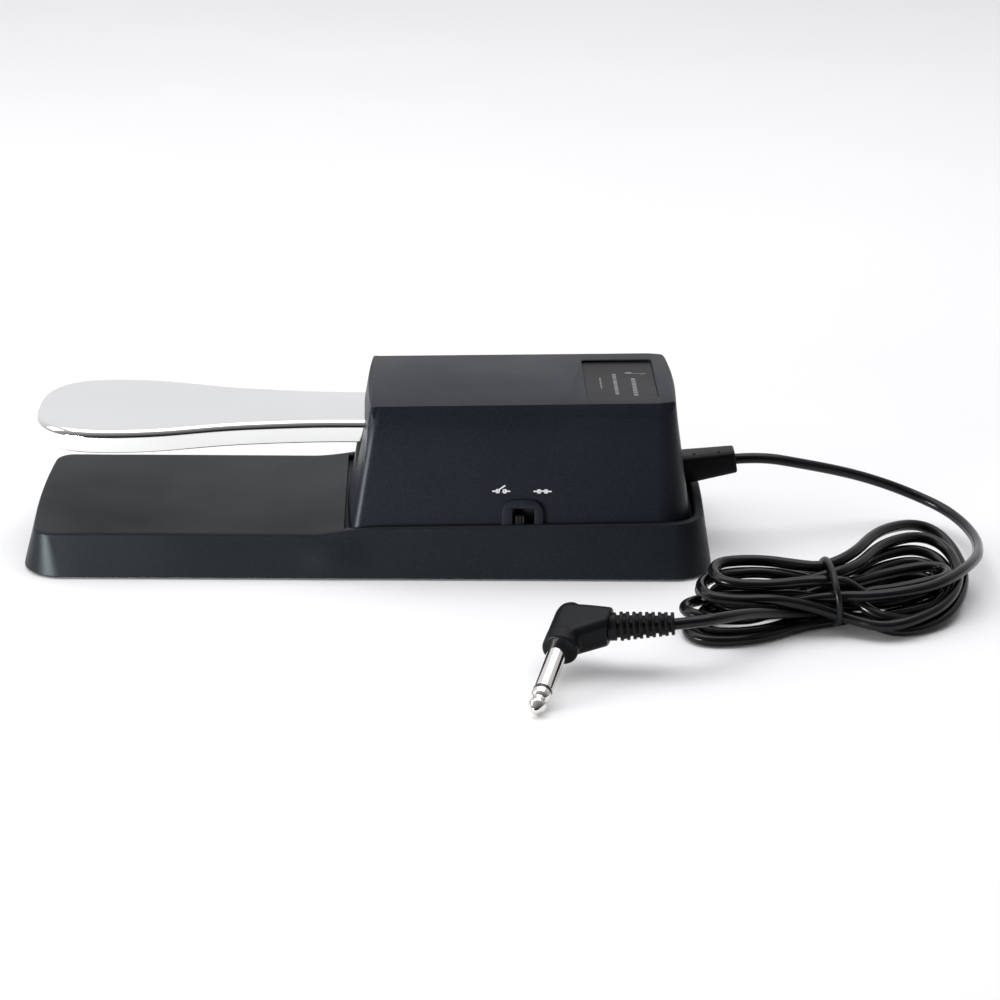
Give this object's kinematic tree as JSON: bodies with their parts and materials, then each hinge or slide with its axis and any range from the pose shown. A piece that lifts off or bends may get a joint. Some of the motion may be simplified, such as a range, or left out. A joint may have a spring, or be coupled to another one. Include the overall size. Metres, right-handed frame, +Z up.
{
  "type": "sustain pedal",
  "caption": "Piano-style sustain pedal with sprung chromed lever, drafted base, polarity switch and tied lead with a right-angle jack plug.",
  "frame": {"origin": "on the floor, under the middle of the base", "axes": "+X from the lever's toe towards the lead's exit, +Z up, -Y towards the polarity switch"},
  "size_m": [0.3379, 0.198, 0.0602],
  "materials": {
    "textured_shell": "fine-grained moulded ABS, satin charcoal",
    "base_sheet": "black painted steel sheet",
    "screw_steel": "zinc-plated steel",
    "foot_rubber": "matt black rubber",
    "ballast_iron": "raw iron",
    "label_sheet": "dark grey printed sheet",
    "knob_plastic": "black moulded plastic",
    "switch_case": "black switch case",
    "knob_red": "red moulded plastic",
    "lever_chrome": "polished chrome plate",
    "bracket_steel": "galvanised steel",
    "pin_steel": "ground steel",
    "bush_brass": "turned brass",
    "nylon": "natural nylon",
    "board_green": "circuit board",
    "cord_jacket": "satin-gloss PVC jacket",
    "tie_plastic": "black plastic-coated wire",
    "relief_rubber": "black flexible moulding",
    "plug_moulding": "black moulded plug body",
    "plug_nickel": "nickel plate",
    "plug_ring": "black insulating ring"
  },
  "bodies": {
    "base": {"base_shell": "textured_shell", "bottom_plate": "base_sheet", "base_screws": "screw_steel", "rubber_feet": "foot_rubber", "ballast_weight": "ballast_iron", "ballast_screws": "screw_steel", "top_housing": "textured_shell", "housing_screws": "screw_steel", "label_plate": "label_sheet", "polarity_bezel": "textured_shell", "polarity_switch_body": "switch_case", "pivot_bracket": "bracket_steel", "bracket_screws": "screw_steel", "pivot_pin": "pin_steel", "pin_clips": "pin_steel", "return_spring": "pin_steel", "lower_spring_seat": "nylon", "stop_post": "nylon", "lower_stop_pad": "foot_rubber", "upper_stop_pad": "foot_rubber", "circuit_board": "board_green", "board_posts": "nylon", "board_screws": "screw_steel", "foot_switch_body": "switch_case", "inner_cord": "cord_jacket", "cord_strain_relief": "relief_rubber", "cord_lead": "cord_jacket", "cord_hank": "cord_jacket", "hank_tie": "tie_plastic", "cord_tail": "cord_jacket", "plug_strain_relief": "relief_rubber", "plug_body": "plug_moulding", "plug_sleeve": "plug_nickel", "plug_insulator": "plug_ring", "plug_tip": "plug_nickel"},
    "lever": {"pedal_lever": "lever_chrome", "lever_arm": "bracket_steel", "lever_rivets": "bracket_steel", "pivot_bushes": "bush_brass", "upper_spring_seat": "nylon"},
    "plunger": {"switch_plunger": "knob_red"},
    "polarity_knob": {"polarity_slider": "knob_plastic"}
  },
  "joints": [
    {"name": "lever_press", "type": "hinge", "parent": "base", "child": "lever", "pos_m": [0.075, 0, 0.0435], "axis": [0, -1, 0], "range_deg": [0, 5.5], "stiffness_Nm_per_rad": 14, "springref_deg": -5.73, "deforming": ["return_spring"]},
    {"name": "plunger_push", "type": "slide", "parent": "base", "child": "plunger", "axis": [0, 0, -1], "range_m": [0, 0.0022]},
    {"name": "polarity_slide", "type": "slide", "parent": "base", "child": "polarity_knob", "axis": [1, 0, 0], "range_m": [0, 0.0026]}
  ],
  "couplings": [
    {"joint": "plunger_push", "follows": "lever_press", "m_per_rad": 0.021}
  ]
}
